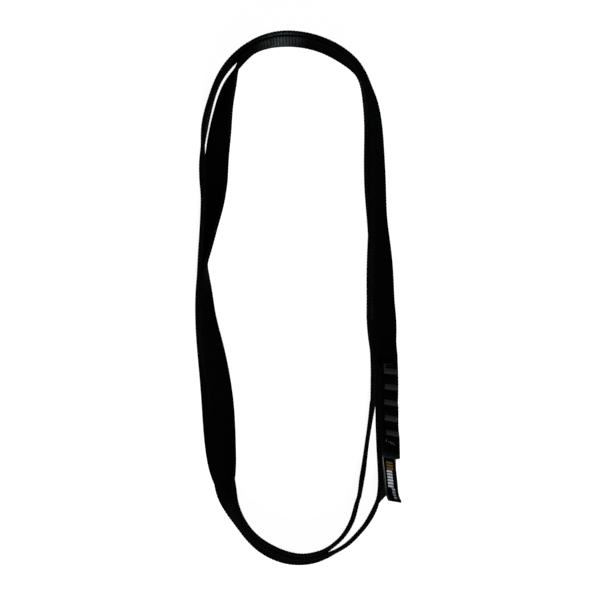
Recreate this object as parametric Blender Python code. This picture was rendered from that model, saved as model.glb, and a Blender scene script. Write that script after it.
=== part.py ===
"""Climbing sling: a flat woven strap, lapped and sewn into a loop, laid down doubled in two turns.

Units are metres, +Z is up and the sling rests on Z = 0. The strap mostly stands on its edges. Two
strands of it run side by side round an oval. On the left they lie flat and roll over each other,
so that the outer strand becomes the inner one and one strap makes both turns.
"""

import math

import bmesh
import bpy
import numpy as np
from mathutils import Matrix, Vector

MM = 0.001

# Driving dimensions
LOOP_WIDTH = 130 * MM
LOOP_LENGTH = 349 * MM
STRAP_WIDTH = 16 * MM
STRAP_THICKNESS = 2.5 * MM
SELVEDGE_BEVEL = 0.6 * MM
CUT_CORNER_RADIUS = 1.6 * MM
CUT_CORNER_SHARES = (0.0, 0.12, 0.45, 1.0)
LAP_LENGTH = 65 * MM
SEWN_GAP = 0.3 * MM
FLOOR_FLAT = 0.25 * MM
SECTION_PITCH = 7.2 * MM
CUT_OVERRUN = 1 * MM

# The lap: where the outer layer comes back down onto the strand, past the end of the inner layer
LAP_END_ROOM = 2 * MM
LAP_FADE_LENGTH = 12 * MM
LAP_TIP_LENGTH = 7.5 * MM
LAP_TIP = math.radians(12)

# Bar tacks: five dense bars of thread across the lap, a little nearer its lower selvedge
TACK_COUNT = 5
TACK_START = 16 * MM
TACK_END_MARGIN = 8.2 * MM
TACK_PITCH = (LAP_LENGTH - TACK_START - TACK_END_MARGIN) / (TACK_COUNT - 1)
TACK_LENGTH = 10.8 * MM
TACK_BREADTH = 4.4 * MM
STITCHING_SHIFT = 1.3 * MM
TACK_HEIGHT = 0.6 * MM
TACK_RIBS = 13
RIB_VALLEY_SHARE = 0.78
BAR_SHOULDER_SHARE = 0.64
THREAD_LEG_RADIUS = 0.4 * MM
THREAD_LEG_SHARES = (-0.36, 0.0, 0.36)
LEG_SIDES = 8

# Label: a folded ribbon, sewn between the layers of the lap and free below the tail
LABEL_WIDTH = 11.4 * MM
LABEL_PLY = 0.45 * MM
LABEL_FOLD_GAP = 0.3 * MM
LABEL_ROOT_DEPTH = 12 * MM
LABEL_PIVOT_REACH = 1.5 * MM
LABEL_HINGE_GAP = 0.8 * MM
LABEL_FLAP_LENGTH = 28.2 * MM
LABEL_REST_ANGLE = math.radians(11)
LABEL_FADE_LENGTH = 11 * MM
LABEL_ROOT_RINGS = 6
LABEL_FOLD_TURNS = (60, 30, 0, -30, -60)
SEAM_PLACE = 9.9 * MM
SEAM_LENGTH = 8.6 * MM
SEAM_BREADTH = 1.0 * MM
SEAM_HEIGHT = 0.5 * MM
SEAM_RIBS = 5

# The route of the two strands, as shares of LOOP_WIDTH and LOOP_LENGTH, counter-clockwise from the
# tail: x, y, roll of the pair in degrees, spread and slip of the strands as shares of the strap's
# width, and the outward lean of the outer and of the inner strand in degrees
ROUTE_SHARES = (
    (0.3905, -0.305, 0, 0.36, 0.00, -44, 2),
    (0.4025, -0.233, 0, 0.13, 0.00, -48, -1),
    (0.410, -0.167, 0, 0.00, 0.00, -48, -4),
    (0.407, -0.116, 0, 0.00, 0.00, -50, 0),
    (0.401, -0.063, 0, 0.00, 0.00, -56, 5),
    (0.396, -0.007, 0, 0.00, 0.00, -59, -4),
    (0.392, 0.069, 0, 0.00, 0.00, -49, -5),
    (0.389, 0.144, 0, 0.00, 0.00, -32, 4),
    (0.386, 0.210, 0, 0.00, 0.00, -25, 13),
    (0.382, 0.276, 0, 0.00, 0.00, -18, 12),
    (0.378, 0.337, 0, 0.00, 0.00, -11, 10),
    (0.356, 0.390, 0, 0.00, 0.00, -6, 8),
    (0.311, 0.427, 0, 0.00, 0.00, 2, 2),
    (0.240, 0.453, 0, 0.00, 0.00, 8, 8),
    (0.130, 0.476, 0, 0.00, 0.00, 10, 10),
    (0.000, 0.488, 0, 0.00, 0.00, 11, 11),
    (-0.130, 0.486, 0, 0.00, 0.00, 9, 9),
    (-0.232, 0.471, 0, 0.00, 0.00, 5, 4),
    (-0.303, 0.447, 0, 0.04, 0.00, 5, 0),
    (-0.366, 0.408, 0, 0.08, 0.00, 3, -27),
    (-0.403, 0.365, 0, 0.07, 0.00, 4, -43),
    (-0.429, 0.314, 0, 0.07, 0.00, 5, -63),
    (-0.440, 0.258, 0, 0.03, 0.00, -3, -73),
    (-0.443, 0.192, 0, 0.00, 0.00, -5, -56),
    (-0.454, 0.131, 0, 0.00, 0.00, -2, -26),
    (-0.471, 0.078, 3, 0.00, 0.00, 0, -12),
    (-0.4705, 0.031, 14, 0.00, 0.00, 0, 0),
    (-0.460, -0.035, 38, 0.00, 0.00, 0, 0),
    (-0.432, -0.105, 70, 0.00, 0.12, 0, 0),
    (-0.399, -0.201, 90, 0.00, 0.23, 0, 0),
    (-0.383, -0.286, 104, 0.00, 0.38, 0, 0),
    (-0.367, -0.342, 130, 0.00, 0.18, 0, 0),
    (-0.338, -0.388, 158, 0.00, 0.00, 0, 0),
    (-0.287, -0.424, 172, 0.00, 0.00, 0, 0),
    (-0.218, -0.457, 178, 0.00, 0.00, -4, -4),
    (-0.120, -0.482, 180, 0.00, 0.00, -8, -8),
    (0.015, -0.4945, 180, 0.00, 0.00, -3, -3),
    (0.130, -0.4855, 180, 0.00, 0.00, 0, 0),
    (0.183, -0.473, 180, 0.05, 0.00, 4, 4),
    (0.239, -0.459, 180, 0.20, 0.00, 5, 5),
    (0.315, -0.4205, 180, 0.38, 0.00, 6, 6),
    (0.336, -0.402, 180, 0.48, 0.00, 6, 6),
    (0.3625, -0.3745, 180, 0.54, 0.00, -4, 6),
    (0.380, -0.348, 180, 0.52, 0.00, -31, 4),
)
CENTRE_SHIFT_SHARES = (-0.0005, 0.00145)
ROLL_PER_TURN = 180


# Scene and materials

def clear_scene():
    for obj in list(bpy.data.objects):
        bpy.data.objects.remove(obj, do_unlink=True)


def material(name, colour, roughness, metallic=0.0):
    mat = bpy.data.materials.new(name)
    mat.use_nodes = True
    shader = mat.node_tree.nodes["Principled BSDF"]
    shader.inputs["Base Color"].default_value = (*colour, 1.0)
    shader.inputs["Roughness"].default_value = roughness
    shader.inputs["Metallic"].default_value = metallic
    mat.diffuse_color = (*colour, 1.0)
    return mat


def add_object(name, mesh, mat=None, parent=None):
    obj = bpy.data.objects.new(name, mesh)
    bpy.context.scene.collection.objects.link(obj)
    if mat is not None:
        mesh.materials.append(mat)
    if parent is not None:
        obj.parent = parent
    return obj


def add_guide(name, mesh):
    """An object that only shapes others: it isn't a piece of the sling."""
    guide = add_object(name, mesh)
    guide.hide_render = True
    guide.display_type = "WIRE"
    return guide


def mesh_of(name, bm):
    bmesh.ops.recalc_face_normals(bm, faces=bm.faces)
    mesh = bpy.data.meshes.new(name)
    bm.to_mesh(mesh)
    bm.free()
    return mesh


def boolean(obj, tool, operation):
    modifier = obj.modifiers.new(operation.lower(), "BOOLEAN")
    modifier.operation = operation
    modifier.object = tool
    modifier.solver = "EXACT"


def skin_rings(bm, rings):
    """A closed body over rings of points, with a flat cap at each end."""
    loops = [[bm.verts.new(point) for point in ring] for ring in rings]
    for near, far in zip(loops, loops[1:]):
        for index in range(len(near)):
            after = (index + 1) % len(near)
            bm.faces.new((near[index], near[after], far[after], far[index]))
    bm.faces.new(loops[0][::-1])
    bm.faces.new(loops[-1])


# The route

class ClosedCurve:
    """A smooth closed curve through rows of values, read at a share of one turn."""

    def __init__(self, knots, rows):
        self.knots = np.array(knots)
        self.rows = np.array(rows, dtype=float)
        count = len(self.rows)
        steps = np.diff(np.append(self.knots, 1.0))
        matrix = np.zeros((count, count))
        target = np.zeros_like(self.rows)
        for here in range(count):
            before = (here - 1) % count
            after = (here + 1) % count
            matrix[here, before] += 1 / steps[before]
            matrix[here, here] += 2 / steps[before] + 2 / steps[here]
            matrix[here, after] += 1 / steps[here]
            rise_before = (self.rows[here] - self.rows[before]) / steps[before] ** 2
            rise_after = (self.rows[after] - self.rows[here]) / steps[here] ** 2
            target[here] = 3 * (rise_before + rise_after)
        self.steps = steps
        self.slopes = np.linalg.solve(matrix, target)

    def at(self, share):
        """Values and their slopes at a share of the turn, from 0 up to 1."""
        here = int(np.searchsorted(self.knots, share, side="right")) - 1
        after = (here + 1) % len(self.rows)
        step = self.steps[here]
        t = (share - self.knots[here]) / step
        start, end = self.rows[here], self.rows[after]
        out, into = self.slopes[here] * step, self.slopes[after] * step
        cubic = 2 * start - 2 * end + out + into
        square = -3 * start + 3 * end - 2 * out - into
        values = ((cubic * t + square) * t + out) * t + start
        slopes = ((3 * cubic * t + 2 * square) * t + out) / step
        return values, slopes


def build_route():
    rows = np.array(ROUTE_SHARES, dtype=float)
    rows[:, 0] = (rows[:, 0] + CENTRE_SHIFT_SHARES[0]) * LOOP_WIDTH
    rows[:, 1] = (rows[:, 1] + CENTRE_SHIFT_SHARES[1]) * LOOP_LENGTH
    rows[:, 3:5] *= STRAP_WIDTH
    chords = np.hypot(*(np.roll(rows[:, :2], -1, axis=0) - rows[:, :2]).T)
    knots = np.concatenate(([0.0], np.cumsum(chords)[:-1])) / chords.sum()
    rows[:, 2] -= ROLL_PER_TURN * knots
    return ClosedCurve(knots, rows)


def section_corners(lean):
    """Corners of a strap section, with half its gap, that stands on the floor at this lean."""
    half_width = STRAP_WIDTH / 2
    half_depth = (STRAP_THICKNESS + SEWN_GAP) / 2
    corners = []
    for across, out in ((1, 1), (1, -1), (-1, -1), (-1, 1)):
        side = across * half_width * math.sin(lean) + out * half_depth * math.cos(lean)
        height = across * half_width * math.cos(lean) - out * half_depth * math.sin(lean)
        corners.append((side, height))
    floor = min(height for side, height in corners)
    return [(side, height - floor) for side, height in corners]


def reach_at(corners, height, sign):
    """How far the section reaches to one side at a height, or None above its top."""
    reaches = []
    for (side_a, height_a), (side_b, height_b) in zip(corners, corners[1:] + corners[:1]):
        low, high = min(height_a, height_b), max(height_a, height_b)
        if low <= height <= high and high > low:
            part = (height - height_a) / (height_b - height_a)
            reaches.append(sign * (side_a + part * (side_b - side_a)))
    return max(reaches) if reaches else None


def least_spacing(lean_outer, lean_inner):
    """Distance between the centres of two strands that stand and just touch."""
    outer = section_corners(lean_outer)
    inner = section_corners(lean_inner)
    spacings = []
    for height in [corner[1] for corner in outer + inner]:
        outer_reach = reach_at(outer, height, -1)
        inner_reach = reach_at(inner, height, 1)
        if outer_reach is not None and inner_reach is not None:
            spacings.append(outer_reach + inner_reach)
    return max(spacings)


class Section:
    """Where the strap is at one place: centre, and directions along, across and out of its face."""

    def __init__(self, centre, along, across, face):
        self.centre = centre
        self.along = along
        self.across = across
        self.face = face

    def point(self, along, across, out):
        return self.centre + self.along * along + self.across * across + self.face * out

    def matrix(self):
        frame = Matrix((self.along, self.across, self.face)).transposed().to_4x4()
        return Matrix.Translation(self.centre) @ frame


def strand_section(route, travel):
    """The strap after so many turns from its tail, before the lap lifts it."""
    values, slopes = route.at(travel % 1.0)
    x, y, roll_rest, spread, slip, lean_outer, lean_inner = values
    roll = math.radians(roll_rest + ROLL_PER_TURN * travel)
    along = Vector((slopes[0], slopes[1], 0.0)).normalized()
    outward = Vector((along.y, -along.x, 0.0))
    up = Vector((0.0, 0.0, 1.0))
    lean = math.radians(lean_outer if math.cos(roll) > 0 else lean_inner)
    spacing = least_spacing(math.radians(lean_outer), math.radians(lean_inner)) + max(spread, 0.0)
    turn = roll + lean
    across = outward * math.sin(turn) + up * math.cos(turn)
    face = outward * math.cos(turn) - up * math.sin(turn)
    shift = slip * math.sin(roll) ** 2
    sideways = (spacing * math.cos(roll) + shift * math.sin(roll)) / 2
    height = (STRAP_WIDTH * abs(math.cos(turn)) + STRAP_THICKNESS * abs(math.sin(turn))) / 2
    if math.sin(roll) < 0:
        height += shift * math.cos(roll) - spacing * math.sin(roll)
    centre = Vector((x, y, height - FLOOR_FLAT)) + outward * sideways
    return Section(centre, along, across, face)


def smooth_step(value):
    value = min(max(value, 0.0), 1.0)
    return value * value * (3 - 2 * value)


def tipped(section, angle):
    """The section turned about its lower edge, so that its upper edge nears its neighbour."""
    edge = section.point(0.0, -STRAP_WIDTH / 2, 0.0)
    across = section.across * math.cos(angle) - section.face * math.sin(angle)
    face = section.face * math.cos(angle) + section.across * math.sin(angle)
    return Section(edge + across * (STRAP_WIDTH / 2), section.along, across, face)


class Strap:
    """The strap's own coordinates: a length from its tail gives a section of it."""

    SAMPLES_PER_TURN = 1200

    def __init__(self):
        self.route = build_route()
        self.travels = np.linspace(0.0, 3.0, 3 * self.SAMPLES_PER_TURN + 1)
        centres = np.array([strand_section(self.route, travel).centre for travel in self.travels])
        steps = np.linalg.norm(np.diff(centres, axis=0), axis=1)
        self.lengths = np.concatenate(([0.0], np.cumsum(steps)))
        lap_travel = float(np.interp(LAP_LENGTH, self.lengths, self.travels))
        self.loop_length = float(np.interp(2.0, self.travels, self.lengths))
        self.total_length = float(np.interp(2.0 + lap_travel, self.travels, self.lengths))

    def layer_spacing(self, length):
        """How far the outer layer of the lap lies from the place of the inner one."""
        sewn = STRAP_THICKNESS + SEWN_GAP
        past_label = (length - LABEL_ROOT_DEPTH - SEWN_GAP) / LABEL_FADE_LENGTH
        label_room = (2 * LABEL_PLY + SEWN_GAP) * (1 - smooth_step(past_label))
        past_lap = (length - LAP_LENGTH - LAP_END_ROOM) / LAP_FADE_LENGTH
        return (sewn + label_room) * (1 - smooth_step(past_lap))

    def section(self, length):
        travel = float(np.interp(length, self.lengths, self.travels))
        section = strand_section(self.route, travel)
        spacing = self.layer_spacing(length)
        section.centre = section.centre + section.face * spacing
        past_end = smooth_step((length - LAP_LENGTH - SEWN_GAP) / LAP_TIP_LENGTH)
        return tipped(section, LAP_TIP * past_end * spacing / (STRAP_THICKNESS + SEWN_GAP))

    def lap_section(self, length):
        """The plane midway between the two layers of the lap, and how far apart they are."""
        section = self.section(length)
        spacing = self.layer_spacing(length)
        section.centre = section.centre - section.face * (spacing / 2)
        return section, spacing


# The strap

def strap_outline(inset):
    half_width = STRAP_WIDTH / 2 - inset
    half_depth = STRAP_THICKNESS / 2
    quarter = [
        (half_width, half_depth - SELVEDGE_BEVEL),
        (half_width - SELVEDGE_BEVEL, half_depth),
    ]
    left = [(-across, out) for across, out in reversed(quarter)]
    upper = quarter + left
    return upper + [(-across, -out) for across, out in upper]


def corner_inset(from_end):
    """How much of each side is missing near a cut end, where a hot knife rounds the corners."""
    left = max(CUT_CORNER_RADIUS - from_end, 0.0)
    return CUT_CORNER_RADIUS - math.sqrt(CUT_CORNER_RADIUS ** 2 - left ** 2)


def make_webbing(strap, mat):
    end_lengths = [share * CUT_CORNER_RADIUS for share in CUT_CORNER_SHARES]
    plain_length = strap.total_length - 2 * CUT_CORNER_RADIUS
    count = round(plain_length / SECTION_PITCH)
    lengths = end_lengths[:-1]
    lengths += list(np.linspace(CUT_CORNER_RADIUS, CUT_CORNER_RADIUS + plain_length, count + 1))
    lengths += [strap.total_length - length for length in reversed(end_lengths[:-1])]
    rings = []
    for length in lengths:
        section = strap.section(float(length))
        outline = strap_outline(corner_inset(min(length, strap.total_length - length)))
        rings.append([section.point(0.0, across, out) for across, out in outline])
    bm = bmesh.new()
    skin_rings(bm, rings)
    webbing = add_object("webbing", mesh_of("webbing", bm), mat)
    boolean(webbing, make_floor_cutter(), "DIFFERENCE")
    return webbing


def make_floor_cutter():
    """Everything under the floor, which flattens the edges that the strap stands on."""
    bm = bmesh.new()
    bmesh.ops.create_cube(bm, size=1.0)
    size = Vector((2 * LOOP_WIDTH, 2 * LOOP_LENGTH, STRAP_WIDTH))
    bmesh.ops.scale(bm, verts=bm.verts, vec=size)
    bmesh.ops.translate(bm, verts=bm.verts, vec=(0.0, 0.0, -STRAP_WIDTH / 2))
    return add_guide("floor_cutter", mesh_of("floor_cutter", bm))


# Threads

def add_legs(bm, length, radius, low, high):
    """Round legs of thread, side by side across the strap."""
    for share in THREAD_LEG_SHARES:
        middle = Vector((0.0, share * length, (low + high) / 2))
        bmesh.ops.create_cone(
            bm, cap_ends=True, segments=LEG_SIDES, radius1=radius, radius2=radius,
            depth=high - low, matrix=Matrix.Translation(middle))


def make_stitch_bar(name, mat, frame, sizes, face_height, leg_end, side):
    """One thread of a bar of stitches: a ribbed bar on the face, with legs down into the strap."""
    length, breadth, height, ribs = sizes
    foot = face_height + SEWN_GAP
    rings = []
    for index in range(2 * ribs + 1):
        across = (index / (2 * ribs) - 0.5) * length
        swell = 1.0 if index % 2 else RIB_VALLEY_SHARE
        half, top = swell * breadth / 2, foot + swell * height
        shoulder = half * BAR_SHOULDER_SHARE
        profile = ((half, foot), (half, (foot + top) / 2), (shoulder, top), (-shoulder, top),
                   (-half, (foot + top) / 2), (-half, foot))
        rings.append([(x, across, side * out) for x, out in profile])
    bm = bmesh.new()
    skin_rings(bm, rings)
    bar = add_object(name, mesh_of(name, bm), mat)
    bar.matrix_world = frame
    legs = bmesh.new()
    ends = (side * leg_end, side * (foot + height / 2))
    add_legs(legs, length, THREAD_LEG_RADIUS, min(ends), max(ends))
    tool = add_guide(name + "_legs", mesh_of(name + "_legs", legs))
    tool.matrix_world = frame
    boolean(bar, tool, "UNION")
    return bar


def make_needle_holes(name, frame, length, depth):
    holes = bmesh.new()
    reach = depth / 2 + CUT_OVERRUN
    add_legs(holes, length, THREAD_LEG_RADIUS + SEWN_GAP, -reach, reach)
    tool = add_guide(name, mesh_of(name, holes))
    tool.matrix_world = frame
    return tool


def make_stitching(strap, name, place, sizes, mat, cut_pieces):
    """The needle thread outside the lap and the bobbin thread inside it, which meet midway."""
    section, spacing = strap.lap_section(place)
    frame = section.matrix() @ Matrix.Translation((0.0, -STITCHING_SHIFT, 0.0))
    face_height = (spacing + STRAP_THICKNESS) / 2
    leg_end = SEWN_GAP / 2
    make_stitch_bar(name + "_needle_thread", mat, frame, sizes, face_height, leg_end, 1)
    make_stitch_bar(name + "_bobbin_thread", mat, frame, sizes, face_height, leg_end, -1)
    tool = make_needle_holes(name + "_holes", frame, sizes[0], 2 * face_height)
    for piece in cut_pieces:
        boolean(piece, tool, "DIFFERENCE")


# Label

def make_label_root(strap, mat):
    """The sewn ends of the folded ribbon, pressed flat between the layers of the lap."""
    rings = []
    half_width = LABEL_WIDTH / 2
    for length in np.linspace(-LABEL_PIVOT_REACH, LABEL_ROOT_DEPTH, LABEL_ROOT_RINGS):
        section = strap.lap_section(max(float(length), 0.0))[0]
        past_tail = min(float(length), 0.0)
        rings.append([section.point(past_tail, across * half_width, out * LABEL_PLY)
                      for across, out in ((1, 1), (-1, 1), (-1, -1), (1, -1))])
    bm = bmesh.new()
    skin_rings(bm, rings)
    return add_object("label_root", mesh_of("label_root", bm), mat)


def make_label_flap(strap, mat):
    """The free fold of the ribbon: two plies joined by a round fold at the end, below the tail."""
    section = strap.lap_section(0.0)[0]
    hinge = bpy.data.objects.new("label_hinge", None)
    bpy.context.scene.collection.objects.link(hinge)
    place = Matrix.Translation(-section.along * LABEL_PIVOT_REACH) @ section.matrix()
    hinge.matrix_world = place @ Matrix.Rotation(LABEL_REST_ANGLE, 4, "Y")

    inner = LABEL_FOLD_GAP / 2
    outer = inner + LABEL_PLY
    start = -LABEL_HINGE_GAP
    bend = -LABEL_FLAP_LENGTH + outer
    turns = [math.radians(turn) for turn in LABEL_FOLD_TURNS]
    outside = [(start, outer), (bend, outer)]
    outside += [(bend - outer * math.cos(turn), outer * math.sin(turn)) for turn in turns]
    outside += [(bend, -outer), (start, -outer)]
    inside = [(start, -inner), (bend, -inner)]
    inside += [(bend - inner * math.cos(turn), -inner * math.sin(turn)) for turn in turns]
    inside += [(bend, inner), (start, inner)]
    bm = bmesh.new()
    half_width = LABEL_WIDTH / 2
    outline = outside + inside
    near = [bm.verts.new((x, -half_width, out)) for x, out in outline]
    far = [bm.verts.new((x, half_width, out)) for x, out in outline]
    count = len(outline)
    for index in range(count):
        after = (index + 1) % count
        bm.faces.new((near[index], near[after], far[after], far[index]))
    for layer in (near, far):
        for index in range(len(outside) - 1):
            mirror = count - 1 - index
            bm.faces.new((layer[index], layer[index + 1], layer[mirror - 1], layer[mirror]))
    add_object("label_flap", mesh_of("label_flap", bm), mat, parent=hinge)
    return hinge


# Assembly

def main():
    clear_scene()
    black_webbing = material("black_webbing", (0.012, 0.013, 0.015), 0.75)
    grey_thread = material("grey_thread", (0.055, 0.06, 0.065), 0.6)
    pale_thread = material("pale_thread", (0.30, 0.30, 0.29), 0.6)
    label_ribbon = material("label_ribbon", (0.01, 0.01, 0.012), 0.45)

    strap = Strap()
    webbing = make_webbing(strap, black_webbing)
    label_root = make_label_root(strap, label_ribbon)
    hinge = make_label_flap(strap, label_ribbon)

    tack_sizes = (TACK_LENGTH, TACK_BREADTH, TACK_HEIGHT, TACK_RIBS)
    for number in range(TACK_COUNT):
        place = TACK_START + number * TACK_PITCH
        make_stitching(strap, f"bar_tack_{number + 1}", place, tack_sizes, grey_thread, [webbing])
    seam_sizes = (SEAM_LENGTH, SEAM_BREADTH, SEAM_HEIGHT, SEAM_RIBS)
    make_stitching(strap, "label_seam", SEAM_PLACE, seam_sizes, pale_thread, [webbing, label_root])

    print(f"loop length {strap.loop_length:.4f} m, strap length {strap.total_length:.4f} m")
    print("label hinge at", [round(value, 6) for value in hinge.matrix_world.translation])
    print("label hinge axis", [round(value, 6) for value in hinge.matrix_world.col[1][:3]])


main()
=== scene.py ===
# %% [markdown]
# A climbing sling is one length of flat woven tape whose two ends overlap and are sewn together.
# This one lies doubled: the loop goes round an oval twice, so that two strands run side by side.
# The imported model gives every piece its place. What is made here is what the eye sees: the ribs
# of the weave, the stitches of five bar tacks, a folded ribbon label, and the light on all of it.

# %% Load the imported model
import math

import bmesh
import bpy
import numpy as np
from mathutils import Matrix, Vector


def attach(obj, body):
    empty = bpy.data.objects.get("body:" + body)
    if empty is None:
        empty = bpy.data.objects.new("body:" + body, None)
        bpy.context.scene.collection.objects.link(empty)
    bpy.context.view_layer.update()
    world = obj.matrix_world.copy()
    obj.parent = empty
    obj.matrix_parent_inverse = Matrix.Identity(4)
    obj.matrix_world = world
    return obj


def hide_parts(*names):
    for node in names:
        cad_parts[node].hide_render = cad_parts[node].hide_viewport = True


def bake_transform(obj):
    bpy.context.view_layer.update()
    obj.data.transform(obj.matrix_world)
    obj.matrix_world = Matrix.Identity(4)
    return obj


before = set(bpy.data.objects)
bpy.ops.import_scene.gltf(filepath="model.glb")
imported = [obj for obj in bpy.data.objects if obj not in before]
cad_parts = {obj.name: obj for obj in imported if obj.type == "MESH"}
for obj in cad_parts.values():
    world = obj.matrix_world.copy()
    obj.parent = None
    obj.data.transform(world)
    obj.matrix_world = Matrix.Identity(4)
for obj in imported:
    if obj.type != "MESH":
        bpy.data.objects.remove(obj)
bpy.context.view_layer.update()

MM = 0.001

# %% [markdown]
# Colours are easiest to choose as the hex values of a picture editor, but light adds up in linear
# values, so one function turns the first into the second. Another adds one node to a material and
# sets it up. It feeds the node's inputs with a third, which also feeds the main shader.

# %% Helpers for colours and nodes
WHITE = (1, 1, 1, 1)


def linear(hex_colour):
    """An sRGB hex colour as linear red, green, blue and alpha."""
    values = [int(hex_colour[place:place + 2], 16) / 255 for place in (0, 2, 4)]
    return [v / 12.92 if v <= 0.04045 else ((v + 0.055) / 1.055) ** 2.4 for v in values] + [1.0]


def feed(node, inputs):
    """Gives each input a value, or a link: from a socket, or from the first output of a node."""
    for name, value in inputs.items():
        if isinstance(value, bpy.types.Node):
            value = value.outputs[0]
        if isinstance(value, bpy.types.NodeSocket):
            node.id_data.links.new(value, node.inputs[name])
        else:
            node.inputs[name].default_value = value


def add_node(tree, kind, inputs=None, **settings):
    """One shader node of this kind, with its settings and its inputs."""
    node = tree.nodes.new("ShaderNode" + kind)
    for name, value in settings.items():
        setattr(node, name, value)
    feed(node, inputs or {})
    return node


def new_material(name):
    """A material, its node tree and its main shader."""
    material = bpy.data.materials.new(name)
    material.use_nodes = True
    return material, material.node_tree, material.node_tree.nodes["Principled BSDF"]


print("mid grey, linear:", [round(value, 4) for value in linear("808080")])

# %% [markdown]
# The picture looks almost straight down, from a little towards the label's end, and shows hardly
# any perspective. A long lens a few metres away does the same. The camera comes first, because it
# tells how fine every detail has to be: one pixel of a 600 pixel frame is 0.65 mm here.

# %% Camera
CAMERA_ELEVATION = math.radians(81)
CAMERA_DISTANCE = 3.5
FRAME_BREADTH = 390.6 * MM
FRAME_PIXELS = 600
SENSOR_WIDTH = 36
AIM = Vector((1.63 * MM, -2.45 * MM, 8 * MM))

camera_data = bpy.data.cameras.new("camera")
camera_data.sensor_width = SENSOR_WIDTH
camera_data.lens = SENSOR_WIDTH * CAMERA_DISTANCE / FRAME_BREADTH
camera = bpy.data.objects.new("camera", camera_data)
bpy.context.scene.collection.objects.link(camera)
right = Vector((1, 0, 0))
up = Vector((0, math.sin(CAMERA_ELEVATION), math.cos(CAMERA_ELEVATION)))
back = right.cross(up)
camera.matrix_world = (Matrix.Translation(AIM + back * CAMERA_DISTANCE)
                       @ Matrix((right, up, back)).transposed().to_4x4())
bpy.context.scene.camera = camera
print(f"lens {camera_data.lens:.0f} mm, one pixel is {FRAME_BREADTH / FRAME_PIXELS / MM:.2f} mm")

# %% [markdown]
# The sling lies on a white table under soft light. A table that is really white would light the
# black tape from below and fade it. So the floor glows white only for the camera and for what
# mirrors it. To the camera it is also a mid grey that takes the sling's shadow, and to the light
# that bounces it is dark.

# %% Floor
FLOOR_SIZE = 6.0
FLOOR_DROP = 0.05 * MM
FLOOR_GLOW = 0.95


def camera_and_seen(tree):
    """1 for rays from the camera, and 1 for these and for rays that mirror or pass through."""
    path = add_node(tree, "LightPath")
    seen = path.outputs["Is Camera Ray"]
    for kind in ("Is Glossy Ray", "Is Transmission Ray"):
        seen = add_node(tree, "Math", {0: seen, 1: path.outputs[kind]},
                        operation="MAXIMUM").outputs[0]
    return path.outputs["Is Camera Ray"], seen


bpy.ops.object.select_all(action="DESELECT")
bpy.ops.mesh.primitive_plane_add(size=FLOOR_SIZE, location=(0, 0, -FLOOR_DROP))
floor = bpy.context.active_object
floor.name = "floor"

floor_paper, tree, shader = new_material("matt_white_paper")
from_camera, seen = camera_and_seen(tree)
paper = add_node(tree, "Mix", {0: from_camera, 6: linear("303030"), 7: linear("7e7f80")},
                 data_type="RGBA")
glow = add_node(tree, "Math", {0: seen, 1: FLOOR_GLOW}, operation="MULTIPLY")
feed(shader, {"Base Color": paper.outputs[2], "Roughness": 0.9, "Specular IOR Level": 0.0,
              "Emission Color": WHITE, "Emission Strength": glow})
floor.data.materials.append(floor_paper)
print("floor:", FLOOR_SIZE, "m square")

# %% [markdown]
# Black cloth shows its form only by where it catches light. In the picture the light comes from
# the label's end, so the inner face of the far bend shines, while faces turned to the right stay
# black. Each softbox is given a level instead of watts: 1 would show a white card that faces it
# as white. A lamp of pi squared times its distance squared, in watts, does that.

# %% Lights and surroundings
ROOM_LIGHT = 0.03


def softbox(name, place, side, level):
    """A square soft lamp that shows a white card at the origin, facing it, as bright as level."""
    place = Vector(place)
    lamp_data = bpy.data.lights.new(name, "AREA")
    lamp_data.size = side
    lamp_data.energy = level * (math.pi * place.length) ** 2
    lamp = bpy.data.objects.new(name, lamp_data)
    bpy.context.scene.collection.objects.link(lamp)
    facing = place.to_track_quat("Z", "Y").to_matrix().to_4x4()
    lamp.matrix_world = Matrix.Translation(place) @ facing


softbox("near_softbox", (0.1, -1.75, 0.8), 0.4, 2.0)
softbox("top_softbox", (0.5, 0.5, 1.8), 0.8, 0.2)

world = bpy.data.worlds.new("white_room")
bpy.context.scene.world = world
world.use_nodes = True
seen = camera_and_seen(world.node_tree)[1]
glow = add_node(world.node_tree, "MapRange", {"Value": seen, "To Min": ROOM_LIGHT})
feed(world.node_tree.nodes["Background"], {"Color": WHITE, "Strength": glow})
bpy.context.scene.view_settings.view_transform = "Standard"

# %% [markdown]
# Every piece of the sling follows the strap, so the strap's route is worked out once. It is the
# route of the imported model: points round the oval, each with a roll of the two strands, a spread
# between them, and the lean of either. It departs from the model by a millimetre or two, as soft
# cloth may: beside the lap and at the far left the edges close the ends of a gap, at the near left
# the two strands lie a little flatter and have slipped further apart, on the right and the upper
# left they lean some degrees more, and below the lap the inner one stands more upright. On the left
# the pair rolls over by half a turn, so that the outer strand becomes the inner one, and one strap
# makes both turns.

# %% The strap's sizes and its route
LOOP_WIDTH = 130 * MM
LOOP_LENGTH = 349 * MM
STRAP_WIDTH = 16 * MM
STRAP_THICKNESS = 2.5 * MM
CUT_CORNER_RADIUS = 1.6 * MM
LAP_LENGTH = 65 * MM
SEWN_GAP = 0.3 * MM
SEWN_SPACING = STRAP_THICKNESS + SEWN_GAP
FLOOR_FLAT = 0.25 * MM
LAP_END_ROOM = 2 * MM
LAP_FADE_LENGTH = 12 * MM
LABEL_PLY = 0.45 * MM
LABEL_ROOT_DEPTH = 12 * MM
LABEL_FADE_LENGTH = 11 * MM

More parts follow.
